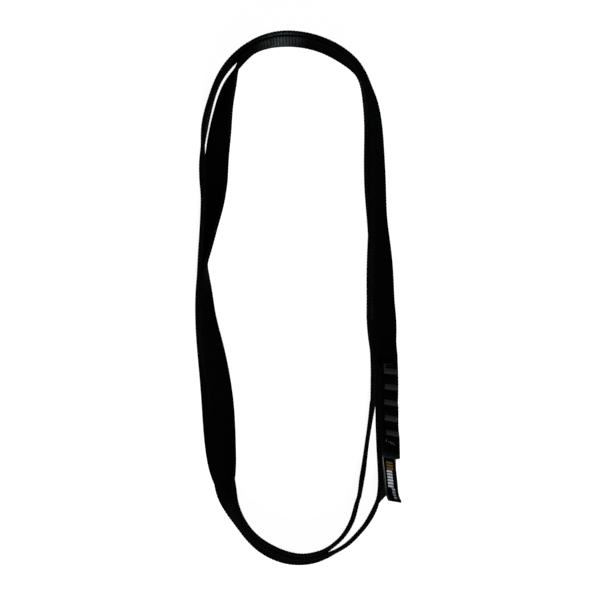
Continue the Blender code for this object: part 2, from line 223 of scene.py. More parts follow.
# x, y, roll in degrees, spread and slip as shares of the strap's width, and the outward lean of
# the outer and of the inner strand in degrees; x and y are shares of the loop's width and length
ROUTE_SHARES = (
    (0.3905, -0.305, 0, 0.36, 0, -44, 2),
    (0.4025, -0.233, 0, 0.09, 0, -50, -2),
    (0.4115, -0.167, 0, -0.04, 0, -50, -8),
    (0.4085, -0.116, 0, -0.01, 0, -51, -6),
    (0.4035, -0.063, 0, 0.02, 0, -62, -9),
    (0.397, -0.007, 0, 0, 0, -63, -8),
    (0.394, 0.069, 0, 0, 0, -53, -6),
    (0.389, 0.144, 0, 0, 0, -32, 4),
    (0.386, 0.210, 0, 0, 0, -25, 13),
    (0.383, 0.276, 0, 0, 0, -21, 13),
    (0.379, 0.337, 0, 0, 0, -14, 12),
    (0.356, 0.390, 0, 0, 0, -6, 8),
    (0.311, 0.427, 0, 0, 0, 2, 2),
    (0.240, 0.453, 0, 0, 0, 8, 8),
    (0.130, 0.476, 0, 0, 0, 10, 10),
    (0, 0.488, 0, 0, 0, 11, 11),
    (-0.130, 0.486, 0, 0, 0, 9, 9),
    (-0.232, 0.471, 0, 0, 0, 5, 4),
    (-0.303, 0.447, 0, 0.07, 0, 5, 0),
    (-0.366, 0.408, 0, 0.08, 0, 3, -27),
    (-0.403, 0.365, 0, 0.06, 0, 4, -43),
    (-0.429, 0.314, 0, 0.04, 0, 5, -63),
    (-0.442, 0.258, 0, 0.04, 0, -7, -73),
    (-0.443, 0.192, 0, 0, 0, -5, -56),
    (-0.457, 0.131, 0, 0, 0, -3, -31),
    (-0.470, 0.078, 3, 0, 0, -1, -15),
    (-0.4705, 0.031, 14, 0, 0, 0, 0),
    (-0.460, -0.035, 38, 0, 0, 0, 0),
    (-0.432, -0.105, 70, 0, 0.12, 0, 0),
    (-0.399, -0.201, 90, 0, 0.31, 0, 0),
    (-0.383, -0.286, 104, 0, 0.33, 0, 0),
    (-0.366, -0.342, 122, 0, 0.22, 0, 0),
    (-0.337, -0.388, 154, 0, 0, 0, 0),
    (-0.287, -0.424, 172, 0, 0, 0, 0),
    (-0.218, -0.457, 178, 0, 0, -4, -4),
    (-0.120, -0.482, 180, 0, 0, -8, -8),
    (0.015, -0.4945, 180, 0, 0, -3, -3),
    (0.130, -0.4855, 180, 0, 0, 0, 0),
    (0.183, -0.4745, 180, 0.08, 0, 5, 5),
    (0.239, -0.4585, 180, 0.175, 0, 6, 5),
    (0.278, -0.4412, 180, 0.27, 0, 6, 5),
    (0.3125, -0.4205, 180, 0.41, 0, 6, 4),
    (0.3335, -0.402, 180, 0.52, 0, 6, 3),
    (0.3595, -0.3745, 180, 0.59, 0, -4, 2),
    (0.380, -0.348, 180, 0.52, 0, -31, 4),
)
CENTRE_SHIFT_SHARES = (-0.0005, 0.00145)
ROLL_PER_TURN = 180
TURNS = 2
print(len(ROUTE_SHARES), "points round the oval")

# %% A smooth closed curve through the route's points
class ClosedCurve:
    """A smooth closed curve through rows of values, read at a share of one turn."""

    def __init__(self, knots, rows):
        self.knots = np.array(knots)
        self.rows = np.array(rows, dtype=float)
        count = len(self.rows)
        steps = np.diff(np.append(self.knots, 1.0))
        matrix = np.zeros((count, count))
        target = np.zeros_like(self.rows)
        for here in range(count):
            before = (here - 1) % count
            after = (here + 1) % count
            matrix[here, before] += 1 / steps[before]
            matrix[here, here] += 2 / steps[before] + 2 / steps[here]
            matrix[here, after] += 1 / steps[here]
            rise_before = (self.rows[here] - self.rows[before]) / steps[before] ** 2
            rise_after = (self.rows[after] - self.rows[here]) / steps[here] ** 2
            target[here] = 3 * (rise_before + rise_after)
        self.steps = steps
        self.slopes = np.linalg.solve(matrix, target)

    def at(self, share):
        """Values and their slopes at a share of the turn, from 0 up to 1."""
        here = int(np.searchsorted(self.knots, share, side="right")) - 1
        after = (here + 1) % len(self.rows)
        step = self.steps[here]
        t = (share - self.knots[here]) / step
        start, end = self.rows[here], self.rows[after]
        out, into = self.slopes[here] * step, self.slopes[after] * step
        cubic = 2 * start - 2 * end + out + into
        square = -3 * start + 3 * end - 2 * out - into
        values = ((cubic * t + square) * t + out) * t + start
        slopes = ((3 * cubic * t + 2 * square) * t + out) / step
        return values, slopes


def build_route():
    """The route as a curve, with its lengths in metres and the steady roll taken out."""
    rows = np.array(ROUTE_SHARES, dtype=float)
    rows[:, 0] = (rows[:, 0] + CENTRE_SHIFT_SHARES[0]) * LOOP_WIDTH
    rows[:, 1] = (rows[:, 1] + CENTRE_SHIFT_SHARES[1]) * LOOP_LENGTH
    rows[:, 3:5] *= STRAP_WIDTH
    chords = np.hypot(*(np.roll(rows[:, :2], -1, axis=0) - rows[:, :2]).T)
    knots = np.concatenate(([0.0], np.cumsum(chords)[:-1])) / chords.sum()
    rows[:, 2] -= ROLL_PER_TURN * knots
    return ClosedCurve(knots, rows)


route = build_route()
print("the route at half a turn, mm:", [round(v / MM, 1) for v in route.at(0.5)[0][:2]])

# %% [markdown]
# Two strands that stand side by side and lean differently touch at one edge. How far apart their
# middles are then follows from their corners, which is worked out here, so that neither sinks
# into the other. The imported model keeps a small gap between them. Cloth touches, so the gap is
# closed here, a little more where two round edges meet than where two flat faces do.

# %% How far apart two leaning strands stand
FLAT_TOUCH = 0.25 * MM
CORNER_TOUCH = 0.4 * MM
CORNER_LEAN = math.radians(10)


def section_corners(lean):
    """Corners of a strap section, with half its gap, that stands on the floor at this lean."""
    half_width = STRAP_WIDTH / 2
    half_depth = SEWN_SPACING / 2
    corners = []
    for across, out in ((1, 1), (1, -1), (-1, -1), (-1, 1)):
        side = across * half_width * math.sin(lean) + out * half_depth * math.cos(lean)
        height = across * half_width * math.cos(lean) - out * half_depth * math.sin(lean)
        corners.append((side, height))
    lowest = min(height for side, height in corners)
    return [(side, height - lowest) for side, height in corners]


def reach_at(corners, height, sign):
    """How far the section reaches to one side at a height, or None above its top."""
    reaches = []
    for (side_a, height_a), (side_b, height_b) in zip(corners, corners[1:] + corners[:1]):
        low, high = min(height_a, height_b), max(height_a, height_b)
        if low <= height <= high and high > low:
            part = (height - height_a) / (height_b - height_a)
            reaches.append(sign * (side_a + part * (side_b - side_a)))
    return max(reaches) if reaches else None


def least_spacing(lean_outer, lean_inner, spread):
    """Distance between the centres of two strands that stand and just touch, or stand apart."""
    outer = section_corners(lean_outer)
    inner = section_corners(lean_inner)
    spacings = []
    for height in [corner[1] for corner in outer + inner]:
        outer_reach = reach_at(outer, height, -1)
        inner_reach = reach_at(inner, height, 1)
        if outer_reach is not None and inner_reach is not None:
            spacings.append(outer_reach + inner_reach)
    unlike = min(abs(lean_outer - lean_inner) / CORNER_LEAN, 1.0)
    apart = min(max(spread, 0.0) / FLAT_TOUCH, 1.0)
    closing = (FLAT_TOUCH + CORNER_TOUCH * unlike) * (1 - apart)
    return max(spacings) - closing + max(spread, 0.0)


print(f"two upright strands: {least_spacing(0, 0, 0) / MM:.2f} mm between their middles")

# %% The strap's own coordinates
class Section:
    """Where the strap is at one place: centre, and directions along, across and out of its face."""

    def __init__(self, centre, along, across, face):
        self.centre = centre
        self.along = along
        self.across = across
        self.face = face

    def point(self, along, across, out):
        return self.centre + self.along * along + self.across * across + self.face * out

    def matrix(self):
        directions = Matrix((self.along, self.across, self.face)).transposed().to_4x4()
        return Matrix.Translation(self.centre) @ directions


def strand_section(travel):
    """The strap after so many turns from its tail, before the lap lifts it."""
    values, slopes = route.at(travel % 1.0)
    x, y, roll_rest, spread, slip, lean_outer, lean_inner = values
    roll = math.radians(roll_rest + ROLL_PER_TURN * travel)
    along = Vector((slopes[0], slopes[1], 0.0)).normalized()
    outward = Vector((along.y, -along.x, 0.0))
    upward = Vector((0.0, 0.0, 1.0))
    lean = math.radians(lean_outer if math.cos(roll) > 0 else lean_inner)
    spacing = least_spacing(math.radians(lean_outer), math.radians(lean_inner), spread)
    turn = roll + lean
    across = outward * math.sin(turn) + upward * math.cos(turn)
    face = outward * math.cos(turn) - upward * math.sin(turn)
    shift = slip * math.sin(roll) ** 2
    sideways = (spacing * math.cos(roll) + shift * math.sin(roll)) / 2
    height = (STRAP_WIDTH * abs(math.cos(turn)) + STRAP_THICKNESS * abs(math.sin(turn))) / 2
    if math.sin(roll) < 0:
        height += shift * math.cos(roll) - spacing * math.sin(roll)
    return Section(Vector((x, y, height - FLOOR_FLAT)) + outward * sideways, along, across, face)


def smooth_step(value):
    """0 below 0, 1 above 1, and a soft rise between."""
    value = min(max(value, 0.0), 1.0)
    return value * value * (3 - 2 * value)


quarter = strand_section(0.25)
print("a quarter turn from the tail the strap leans by",
      round(math.degrees(quarter.across.angle((0, 0, 1)))), "degrees")

# %% [markdown]
# The route is read by turns, but ribs, tacks and label are measured along the strap, so a table of
# lengths turns the one into the other. In the lap the outer layer lies a thickness further out,
# and a little more where the label is between the layers. Just past the lap it tips over until its
# upper edge leans on the strand beside it.

# %% The strap as one length of tape
LAP_TIP = math.radians(13)
LAP_TIP_START = 6.5 * MM
LAP_TIP_FADE_LENGTH = 8 * MM
SAMPLES_PER_TURN = 1200


def tipped(section, angle):
    """The section turned about its lower edge, so that its upper edge leans on its neighbour."""
    edge = section.point(0.0, -STRAP_WIDTH / 2, 0.0)
    across = section.across * math.cos(angle) - section.face * math.sin(angle)
    face = section.face * math.cos(angle) + section.across * math.sin(angle)
    return Section(edge + across * (STRAP_WIDTH / 2), section.along, across, face)


class Strap:
    """A length from the strap's tail gives a section of it."""

    def __init__(self):
        self.travels = np.linspace(0.0, TURNS + 1, (TURNS + 1) * SAMPLES_PER_TURN + 1)
        centres = np.array([strand_section(travel).centre for travel in self.travels])
        steps = np.linalg.norm(np.diff(centres, axis=0), axis=1)
        self.lengths = np.concatenate(([0.0], np.cumsum(steps)))
        self.total_length = self.length_at(TURNS + self.travel_at(LAP_LENGTH))

    def travel_at(self, length):
        return float(np.interp(length, self.lengths, self.travels))

    def length_at(self, travel):
        return float(np.interp(travel, self.travels, self.lengths))

    def layer_spacing(self, length):
        """How far the outer layer of the lap lies from the place of the inner one."""
        past_label = (length - LABEL_ROOT_DEPTH - SEWN_GAP) / LABEL_FADE_LENGTH
        label_room = (2 * LABEL_PLY + SEWN_GAP) * (1 - smooth_step(past_label))
        past_lap = (length - LAP_LENGTH - LAP_END_ROOM) / LAP_FADE_LENGTH
        return (SEWN_SPACING + label_room) * (1 - smooth_step(past_lap))

    def section(self, length):
        """The tape's section at a length from the tail."""
        section = strand_section(self.travel_at(length))
        spacing = self.layer_spacing(length)
        section.centre = section.centre + section.face * spacing
        past_end = smooth_step((length - LAP_LENGTH + LAP_TIP_START) / LAP_TIP_FADE_LENGTH)
        tip = LAP_TIP * past_end * spacing / SEWN_SPACING
        return tipped(section, tip) if tip else section

    def lap_section(self, length):
        """The plane midway between the two layers of the lap, and how far apart they are."""
        section = self.section(length)
        spacing = self.layer_spacing(length)
        section.centre = section.centre - section.face * (spacing / 2)
        return section, spacing


strap = Strap()
print(f"the strap is {strap.total_length:.4f} m long")

# %% [markdown]
# Flat polyamide tape is woven with thick weft threads that lie across it, and show as ribs. Here
# a rib is about 2.1 mm wide. Modelled ribs catch a low light as the real ones do, so each rib gets
# four rings of points: one in the groove and three over its round back. Where the bar tacks pull
# the two layers together, the faces dip. The cut ends are sealed with a hot knife, which rounds
# their corners and leaves a smooth lip: the "melt" attribute tells the material where. At the far
# bend, the rib crests of the inner face, which is turned to the near softbox, and the edges there
# get a painted highlight, for the shine of their filaments in that light: a second attribute tells
# the material where.

# %% The tape's cross-section and ribs
RIB_PITCH = 2.1 * MM
RIB_RISE = 0.19 * MM
RIB_PHASES = ((0.0, 0.0), (0.2, 0.72), (0.5, 1.0), (0.8, 0.72))
TACK_COUNT = 5
TACK_START = 16 * MM
TACK_END_MARGIN = 8.2 * MM
TACK_PITCH = (LAP_LENGTH - TACK_START - TACK_END_MARGIN) / (TACK_COUNT - 1)
TACK_DIP = 0.3 * MM
TACK_DIP_FLOOR = 1.4 * MM
TACK_DIP_REACH = 4.2 * MM
MELT_LENGTH = 2.0 * MM
LIP_RISE = 0.12 * MM
END_ROUNDING = 0.32 * MM
END_ROUNDING_LENGTH = 0.5 * MM
END_RINGS = (0.0, 0.08 * MM, 0.25 * MM, 0.55 * MM, 1.0 * MM)
LEAST_FROM_END = 0.02 * MM
EDGE_RIB_SHARE = 0.35
MELTED_RIB_SHARE = 0.4
# where the far bend's ribs get a painted highlight, for the shine the near softbox raises on them:
# its span across the loop, its fades, and its share in the grooves and on the edges
HIGHLIGHT_FROM, HIGHLIGHT_TO = -13 * MM, -9 * MM
HIGHLIGHT_FADES = (17 * MM, 16 * MM)
HIGHLIGHT_GROOVE_SHARE = 0.1
HIGHLIGHT_EDGE_SHARE = 0.16

# across and out, as shares of half the width and half the thickness, for a quarter of the outline
QUARTER = ((1.0, 0.0), (0.988, 0.68), (0.948, 0.96), (0.72, 1.0), (0.48, 1.0), (0.24, 1.0))
upper_half = list(QUARTER) + [(0.0, 1.0)] + [(-across, out) for across, out in QUARTER[:0:-1]]
outline = upper_half + [(-across, -out) for across, out in upper_half]
tack_places = [TACK_START + number * TACK_PITCH for number in range(TACK_COUNT)]


def corner_inset(from_end):
    """How much of each side is missing near a cut end, where a hot knife rounds the corners."""
    left = max(CUT_CORNER_RADIUS - from_end, 0.0)
    return CUT_CORNER_RADIUS - math.sqrt(max(CUT_CORNER_RADIUS ** 2 - left ** 2, 0.0))


print(len(outline), "points round the tape,",
      round(strap.total_length / RIB_PITCH), "ribs along it")

# %% The rings of the tape
def tape_stations():
    """Length from the tail and how far up a rib's back, for each ring of the tape."""
    ribs = int((strap.total_length - 3 * RIB_PITCH) / RIB_PITCH)
    first = (strap.total_length - ribs * RIB_PITCH) / 2
    middle = [(first + (rib + phase) * RIB_PITCH, rise)
              for rib in range(ribs) for phase, rise in RIB_PHASES]
    near = [(length, 0.5) for length in END_RINGS]
    far = [(strap.total_length - length, 0.5) for length in END_RINGS[::-1]]
    return near + middle + far


def dip_at(length):
    """How deep the stitches pull in the outer face of the lap, and the inner face, here."""
    inner_layer = strap.travel_at(length) - TURNS
    place = strap.length_at(inner_layer) if inner_layer >= 0 else length
    nearest = min(abs(place - tack) for tack in tack_places)
    past_floor = (nearest - TACK_DIP_FLOOR) / (TACK_DIP_REACH - TACK_DIP_FLOOR)
    depth = TACK_DIP * (1 - smooth_step(past_floor))
    return (0.0, depth) if inner_layer >= 0 else (depth, 0.0)


def tape_ring(length, rise):
    """The points of one ring of the tape, with its rib, dips and melted lip."""
    section = strap.section(length)
    from_end = min(length, strap.total_length - length)
    round_over = END_ROUNDING * (1 - smooth_step(from_end / END_ROUNDING_LENGTH))
    half_width = STRAP_WIDTH / 2 - corner_inset(max(from_end, LEAST_FROM_END)) - round_over
    lip = LIP_RISE * smooth_step(1.4 - from_end / MELT_LENGTH)
    half_depth = STRAP_THICKNESS / 2 + lip - round_over
    upper_dip, lower_dip = dip_at(length) if from_end < LAP_LENGTH else (0.0, 0.0)
    points = []
    for across, out in outline:
        rib = RIB_RISE * rise * (EDGE_RIB_SHARE + (1 - EDGE_RIB_SHARE) * abs(out))
        if from_end <= MELT_LENGTH:
            rib *= MELTED_RIB_SHARE
        inside = max(1 - abs(across) ** 6, 0.0)
        dip = (upper_dip if out > 0 else -lower_dip) * inside
        wide = across * (half_width + (rib * 0.5 if abs(across) > 0.95 else 0.0))
        raised = out * half_depth + math.copysign(rib, out) * abs(out) - dip
        point = section.point(0.0, wide, raised)
        points.append((point.x, point.y, max(point.z, 0.0)))
    return points


stations = tape_stations()
rings = [tape_ring(length, rise) for length, rise in stations]
print(len(rings), "rings round the tape")

# %% [markdown]
# The rings are joined into one closed mesh. Its UV map is in real metres: u goes round the tape
# from one selvedge, and v goes along it. The weave in the material is drawn on these two,
# so it follows the tape through every bend and roll.

# %% A painted highlight, distances round the tape, and a finished mesh
def painted_highlight_at(section, out, rise):
    """How much painted highlight a point gets: rib crests of the face turned to the near softbox,
    and the edges, at the far bend only.
    """
    beside = max((HIGHLIGHT_FROM - section.centre.x) / HIGHLIGHT_FADES[0],
                 (section.centre.x - HIGHLIGHT_TO) / HIGHLIGHT_FADES[1], 0.0)
    on_face = abs(out) > 0.5
    if section.centre.y < 0 or (on_face and section.face.y * out > -0.5):
        return 0.0
    strength = HIGHLIGHT_EDGE_SHARE
    if on_face:
        strength = HIGHLIGHT_GROOVE_SHARE + (1 - HIGHLIGHT_GROOVE_SHARE) * rise ** 3
    return strength * max(1 - beside, 0.0) ** 1.5


def mesh_object(bm, name):
    """The finished bmesh as an object in the scene."""
    mesh = bpy.data.meshes.new(name)
    bm.to_mesh(mesh)
    bm.free()
    obj = bpy.data.objects.new(name, mesh)
    bpy.context.scene.collection.objects.link(obj)
    return obj


corners_round = np.array(outline) * (STRAP_WIDTH / 2, STRAP_THICKNESS / 2)
steps_round = np.linalg.norm(np.roll(corners_round, -1, axis=0) - corners_round, axis=1)
around = np.concatenate(([0.0], np.cumsum(steps_round)))
half_round = around[-1] / 2
print("round the tape:", round(around[-1] / MM, 1), "mm")

# %% The mesh of the tape
def build_tape():
    """The rings joined into a closed tape, with its UV map and its two attributes."""
    bm = bmesh.new()
    uv = bm.loops.layers.uv.new("tape")
    melt = bm.verts.layers.float.new("melt")
    # a painted highlight on the far bend's ribs, kept as a vertex attribute
    painted_highlight = bm.verts.layers.float.new("painted_highlight")
    loops = []
    for ring, (length, rise) in zip(rings, stations):
        from_end = min(length, strap.total_length - length)
        section = strap.section(length)
        loop = [bm.verts.new(point) for point in ring]
        for vert, (_, out) in zip(loop, outline):
            vert[melt] = 1 - smooth_step((from_end - 0.6 * MELT_LENGTH) / (0.8 * MELT_LENGTH))
            vert[painted_highlight] = painted_highlight_at(section, out, rise)
        loops.append(loop)
    count = len(loops[0])
    for place, (near, far) in enumerate(zip(loops, loops[1:])):
        start, end = stations[place][0], stations[place + 1][0]
        for index in range(count):
            after = (index + 1) % count
            face = bm.faces.new((near[index], near[after], far[after], far[index]))
            corners = ((around[index], start), (around[index + 1], start),
                       (around[index + 1], end), (around[index], end))
            for corner, place_on_tape in zip(face.loops, corners):
                corner[uv].uv = place_on_tape
    for loop, length in ((loops[0][::-1], stations[0][0]), (loops[-1], stations[-1][0])):
        for corner in bm.faces.new(loop).loops:
            corner[uv].uv = (0.0, length)
    bmesh.ops.recalc_face_normals(bm, faces=bm.faces)
    obj = mesh_object(bm, "tape")
    obj.data.shade_smooth()
    return obj


tape = build_tape()
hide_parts("webbing")
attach(tape, "sling")
print("tape:", sum(len(face.vertices) - 2 for face in tape.data.polygons), "triangles")

# %% [markdown]
# The tape is solution-dyed polyamide 6.6: matt black, woven, with a faint cool sheen where light
# rakes over the fine filaments. Seen straight on it is nearly black. The weave is drawn as warp
# threads 1.14 mm apart that step over every other rib, with a noise for the filaments, much finer
# along the threads than across them.

# %% Weave of the tape
WARP_PITCH = 1.14 * MM
FILAMENT_SIZE = 0.12 * MM
BLOTCH_SIZE = 9 * MM

webbing, tree, shader = new_material("woven_black_polyamide")
place = add_node(tree, "UVMap", uv_map="tape")
axes = add_node(tree, "SeparateXYZ", {0: place})
columns = add_node(tree, "Math", {0: axes.outputs["X"], 1: 1 / WARP_PITCH}, operation="MULTIPLY")
column = add_node(tree, "Math", {0: columns}, operation="FLOOR")
yarn_back = add_node(tree, "Math", {0: columns, 1: math.pi}, operation="MULTIPLY")
yarn_back = add_node(tree, "Math", {0: yarn_back}, operation="SINE")
yarn_back = add_node(tree, "Math", {0: yarn_back}, operation="ABSOLUTE")
rib_turn = add_node(tree, "Math", {0: axes.outputs["Y"], 1: math.pi / RIB_PITCH},
                    operation="MULTIPLY")
rib_turn = add_node(tree, "Math", {0: column, 1: math.pi, 2: rib_turn}, operation="MULTIPLY_ADD")
over_under = add_node(tree, "Math", {0: rib_turn}, operation="SINE")
over_under = add_node(tree, "MapRange", {"Value": over_under, "From Min": -1.0, "To Min": 0.45})
weave = add_node(tree, "Math", {0: yarn_back, 1: over_under}, operation="MULTIPLY")
stretch = add_node(tree, "Mapping", {"Vector": place, "Scale": (1.0, 0.22, 1.0)})
filaments = add_node(tree, "TexNoise", {"Vector": stretch, "Scale": 1 / FILAMENT_SIZE,
                                        "Detail": 3.0})
height = add_node(tree, "Math", {0: filaments, 1: 0.55, 2: weave}, operation="MULTIPLY_ADD")
blotches = add_node(tree, "TexNoise", {"Vector": place, "Scale": 1 / BLOTCH_SIZE, "Detail": 4.0})
print("warp threads across the tape:", round(STRAP_WIDTH / WARP_PITCH))

# %% [markdown]
# Colour lies over the weave in layers: the gaps between the threads carry painted shade, darker
# than the threads' crests, the edges are dusty and hold lint and broken filaments, the rib crests
# of the far bend's inner face carry a painted highlight in streaks, for the shine that the near
# softbox raises there, and the melted lips are smoother and paler. Each layer is a share between
# 0 and 1, and a loop mixes them in one over the other.

# %% Wear, painted shade and a painted highlight on the tape
EDGE_FULL, EDGE_END = 0.9 * MM, 2.0 * MM
FLECK_SIZE = 0.8 * MM
STREAK_SIZE = 1.5 * MM

# the crests of the threads painted a little greyer, so that the gaps between them carry painted
# shade
painted_weave_shade = add_node(tree, "MapRange", {"Value": height, "From Min": 0.65, "From Max": 1.25})
# the two selvedges are at 0 and halfway round the outline
from_edge = add_node(tree, "Math", {0: axes.outputs["X"], 1: half_round}, operation="PINGPONG")
from_edge = add_node(tree, "Math", {0: from_edge, 1: half_round / 2}, operation="PINGPONG")
edge = add_node(tree, "MapRange", {"Value": from_edge, "From Min": EDGE_FULL,
                                   "From Max": EDGE_END, "To Min": 1.0, "To Max": 0.0})
worn = add_node(tree, "Math", {0: edge, 1: blotches}, operation="MULTIPLY")
flecks = add_node(tree, "Mapping", {"Vector": place, "Scale": (1.6, 1.0, 1.0)})
flecks = add_node(tree, "TexNoise", {"Vector": flecks, "Scale": 1 / FLECK_SIZE, "Detail": 4.0})
flecks = add_node(tree, "MapRange", {"Value": flecks, "From Min": 0.54, "From Max": 0.74})
flecks = add_node(tree, "Math", {0: flecks, 1: edge}, operation="MULTIPLY")
# the painted highlight on the rib crests of the far bend, broken into streaks
painted_highlight = add_node(tree, "Attribute", attribute_name="painted_highlight").outputs["Fac"]
streaks = add_node(tree, "Mapping", {"Vector": place, "Scale": (0.15, 1.0, 1.0)})
streaks = add_node(tree, "TexNoise", {"Vector": streaks, "Scale": 1 / STREAK_SIZE,
                                      "Detail": 3.0})
streaks = add_node(tree, "MapRange", {"Value": streaks, "From Min": 0.3, "From Max": 0.7,
                                      "To Min": 0.2})
rib_highlight = add_node(tree, "Math", {0: painted_highlight, 1: streaks}, operation="MULTIPLY")
melt = add_node(tree, "Attribute", attribute_name="melt").outputs["Fac"]
print("the edges are worn over", EDGE_END / MM, "mm")

# %% Colours and finish of the tape
tone = add_node(tree, "Mix", {0: blotches, 6: linear("010101"), 7: linear("020202")},
                data_type="RGBA")
# 3e4245 is the colour of the painted highlight on the far bend's ribs
for share, hex_colour in ((painted_weave_shade, "070708"), (worn, "050606"), (flecks, "151718"),
                          (rib_highlight, "3e4245"), (melt, "0e0f10")):
    tone = add_node(tree, "Mix", {0: share, 6: tone.outputs[2], 7: linear(hex_colour)},
                    data_type="RGBA")
matt = add_node(tree, "MapRange", {"Value": filaments, "To Min": 0.6, "To Max": 0.85})
matt = add_node(tree, "Mix", {0: melt, 2: matt, 3: 0.42})
bump = add_node(tree, "Bump", {"Height": height, "Strength": 0.7, "Distance": 0.16 * MM})
feed(shader, {"Base Color": tone.outputs[2], "Roughness": matt, "Normal": bump,
              "Specular IOR Level": 0.0, "Sheen Weight": 0.01, "Sheen Roughness": 0.3,
              "Sheen Tint": linear("c4ccd6")})
tape.data.materials.append(webbing)
print("nodes in the tape's material:", len(tree.nodes))

# %% [markdown]
# A bar tack is a dense zigzag of strong thread, sewn by machine. Its stitches lie along the strap,
# side by side like satin stitch, and make a bar across it. One stitch is modelled: a six-sided
# ring is extruded step by step into a thread, a Simple Deform modifier bends it to the side, and a
# quarter turn points both ends down into the tape. It is then copied for every stitch, each a
# little different.

# %% One stitch of thread
TACK_THREAD = 0.42 * MM
TACK_STITCH_LENGTH = 4.6 * MM
TACK_STITCH_BEND = math.radians(75)
THREAD_SIDES = 6
THREAD_STEPS = 7


def model_stitch(name, length, thread, bend):
    """One stitch along X, bent so that its ends go down, with its ends at height 0."""
    bpy.ops.object.select_all(action="DESELECT")
    bpy.ops.mesh.primitive_circle_add(vertices=THREAD_SIDES, radius=thread / 2, fill_type="NGON",
                                      calc_uvs=False, location=(-length / 2, 0, 0),
                                      rotation=(0, math.radians(90), 0))
    stitch = bpy.context.active_object
    stitch.name = name
    bpy.ops.object.transform_apply(location=True, rotation=True, scale=True)
    bpy.ops.object.mode_set(mode="EDIT")
    bpy.ops.mesh.select_all(action="SELECT")
    for _ in range(THREAD_STEPS):
        bpy.ops.mesh.extrude_region_move(
            TRANSFORM_OT_translate={"value": (length / THREAD_STEPS, 0, 0)})
    bpy.ops.mesh.select_all(action="SELECT")
    bpy.ops.mesh.normals_make_consistent(inside=False)
    bpy.ops.object.mode_set(mode="OBJECT")
    arch = stitch.modifiers.new("arch", "SIMPLE_DEFORM")
    arch.deform_method = "BEND"
    arch.deform_axis = "Z"
    arch.angle = bend
    bpy.ops.object.modifier_apply(modifier="arch")
    stitch.rotation_euler.x = math.radians(-90)
    bpy.ops.object.transform_apply(location=False, rotation=True, scale=False)
    bpy.ops.object.shade_smooth()
    lowest = min(vert.co.z for vert in stitch.data.vertices)
    stitch.data.transform(Matrix.Translation((0, 0, -lowest)))
    return stitch


tack_stitch = model_stitch("tack_stitch", TACK_STITCH_LENGTH, TACK_THREAD, TACK_STITCH_BEND)
print("one stitch:", [round(v / MM, 2) for v in tack_stitch.dimensions], "mm,",
      len(tack_stitch.data.polygons), "faces")

# %% Stitches for one tack
TACK_LENGTH = 10.8 * MM
TACK_BREADTH = 4.4 * MM
STITCH_PITCH = 0.37 * MM
STITCH_DEPTH = 0.55 * MM
STITCH_TURN = 2.4
# how far a stitch strays along the strap and into it, and the share that its length varies by
STITCH_SCATTER = (0.09 * MM, 0.035 * MM, 0.02)
chance = np.random.default_rng(11)


def lay_stitch(model, matrix):
    """A copy of the modelled stitch, with its own mesh, put in its place."""
    copy = model.copy()
    copy.data = model.data.copy()
    bpy.context.scene.collection.objects.link(copy)
    copy.data.transform(matrix)
    return copy


def join_parts(parts, name):
    """All parts as one object, with the first one's place."""
    bpy.ops.object.select_all(action="DESELECT")
    for part in parts:
        part.select_set(True)
    bpy.context.view_layer.objects.active = parts[0]
    bpy.ops.object.join()
    parts[0].name = name
    parts[0].data.name = name
    return parts[0]


def map_flat(obj):
    """A UV map in real metres, u along the strap and v across it, while the piece lies flat."""
    layer = obj.data.uv_layers.new(name="thread")
    for loop in obj.data.loops:
        place = obj.data.vertices[loop.vertex_index].co
        layer.data[loop.index].uv = (place.x, place.y)


def place_stitch(model, along, across, turn=0.0, drop=0.0, size=1.0):
    """One stitch at its place on the strap's face, turned by so many degrees."""
    return lay_stitch(model, Matrix.Translation((along, across, -STITCH_DEPTH - drop))
                      @ Matrix.Rotation(math.radians(turn), 4, "Z")
                      @ Matrix.Diagonal((size, 1.0, 1.0, 1.0)))


def satin_row():
    """The stitches of one bar tack, side by side across the strap."""
    count = round(TACK_LENGTH / STITCH_PITCH)
    parts = []
    for index in range(count + 1):
        across = (index / count - 0.5) * (TACK_LENGTH - TACK_THREAD)
        along, drop, size = chance.normal(0, STITCH_SCATTER)
        parts.append(place_stitch(tack_stitch, along, across, STITCH_TURN * (-1) ** index,
                                  abs(drop), 1 + size))
    return parts


print(round(TACK_LENGTH / STITCH_PITCH) + 1, "stitches in a tack")

# %% [markdown]
# Between the threads of a satin stitch a little of the zigzag under it shows. A low pad closes
# these gaps: a cube is added at its size and its upper edges are bevelled.

# %% The pad under the stitches
PAD_HEIGHT = 0.32 * MM
PAD_DEPTH = 0.2 * MM
PAD_END_MARGINS = 0.5 * MM
PAD_SIDE_MARGINS = 0.9 * MM
PAD_BEVEL_SHARE = 0.45


def model_pad(name, length, breadth):
    """A low pad with round upper edges, sunk a little into the face."""
    bpy.ops.object.select_all(action="DESELECT")
    bpy.ops.mesh.primitive_cube_add(size=1, calc_uvs=False,
                                    location=(0, 0, PAD_HEIGHT / 2 - PAD_DEPTH),
                                    scale=(breadth, length, PAD_HEIGHT + PAD_DEPTH))
    pad = bpy.context.active_object
    pad.name = name
    bpy.ops.object.transform_apply(location=True, rotation=True, scale=True)
    bpy.ops.object.mode_set(mode="EDIT")
    bpy.ops.mesh.select_mode(type="EDGE")
    bpy.ops.mesh.select_all(action="SELECT")
    bpy.ops.mesh.bevel(offset=PAD_BEVEL_SHARE * PAD_HEIGHT, segments=2)
    bpy.ops.object.mode_set(mode="OBJECT")
    bpy.ops.object.shade_smooth()
    return pad


pad_model = model_pad("tack_pad", TACK_LENGTH - PAD_END_MARGINS, TACK_BREADTH - PAD_SIDE_MARGINS)
print("pad:", [round(v / MM, 2) for v in pad_model.dimensions], "mm")

